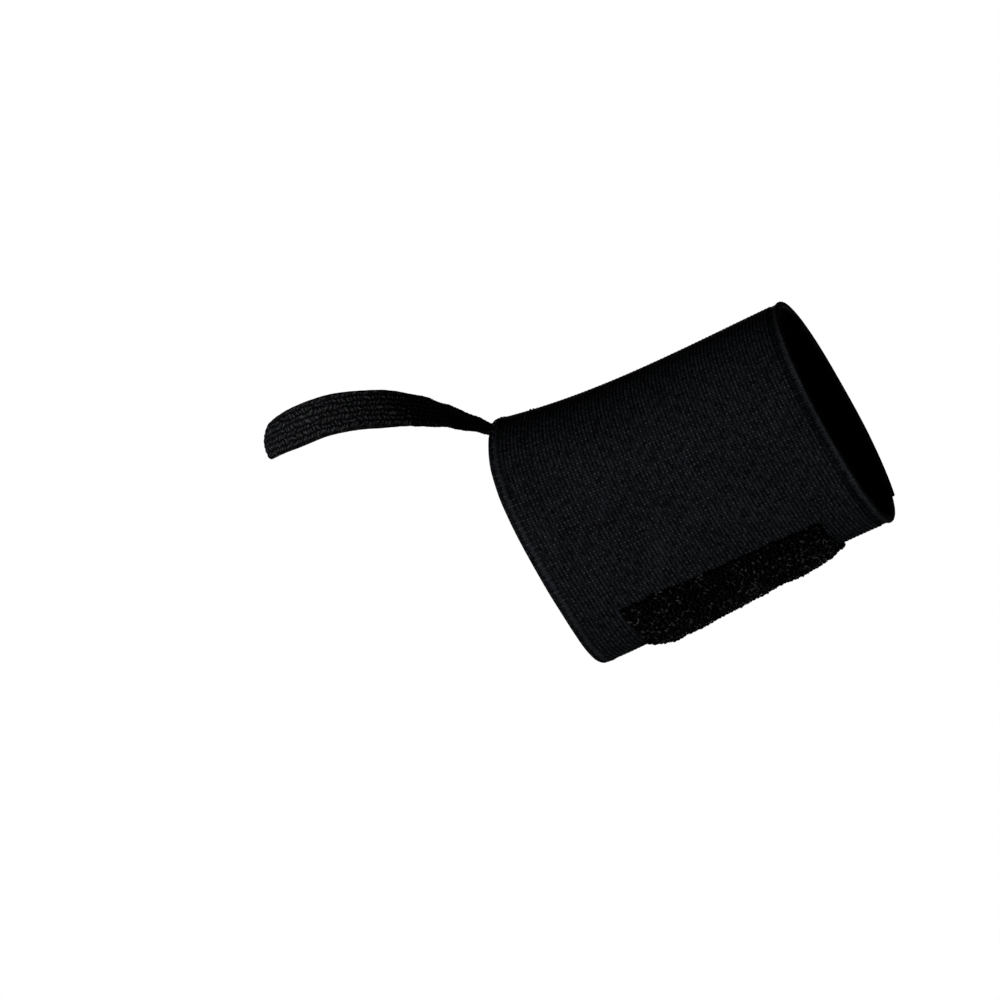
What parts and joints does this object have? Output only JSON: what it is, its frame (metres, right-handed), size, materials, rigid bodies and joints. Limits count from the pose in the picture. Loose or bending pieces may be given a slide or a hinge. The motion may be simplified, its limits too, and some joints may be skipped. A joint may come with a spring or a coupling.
{
  "type": "wrist support",
  "caption": "Elastic wrist support in its worn form: a woven band wound round the wrist, a braided loop for the thumb, and a pile and hook fastening on the little-finger side.",
  "frame": {"origin": "middle of the wrist hollow, at half the band's width", "axes": "+X along the forearm towards the elbow, +Y to the palm side, +Z to the thumb side"},
  "size_m": [0.1311, 0.0481, 0.092],
  "materials": {
    "woven_elastic": "matt black plain-woven elastic",
    "braided_elastic": "black braided elastic with a faint gloss",
    "pile_tape": "black nylon loop pile with bright strands",
    "hook_tape": "black nylon hook tape"
  },
  "bodies": {
    "root": {"wrap_band": "woven_elastic", "thumb_loop": "braided_elastic", "pile_patch": "pile_tape", "hook_patch": "hook_tape"}
  },
  "joints": []
}
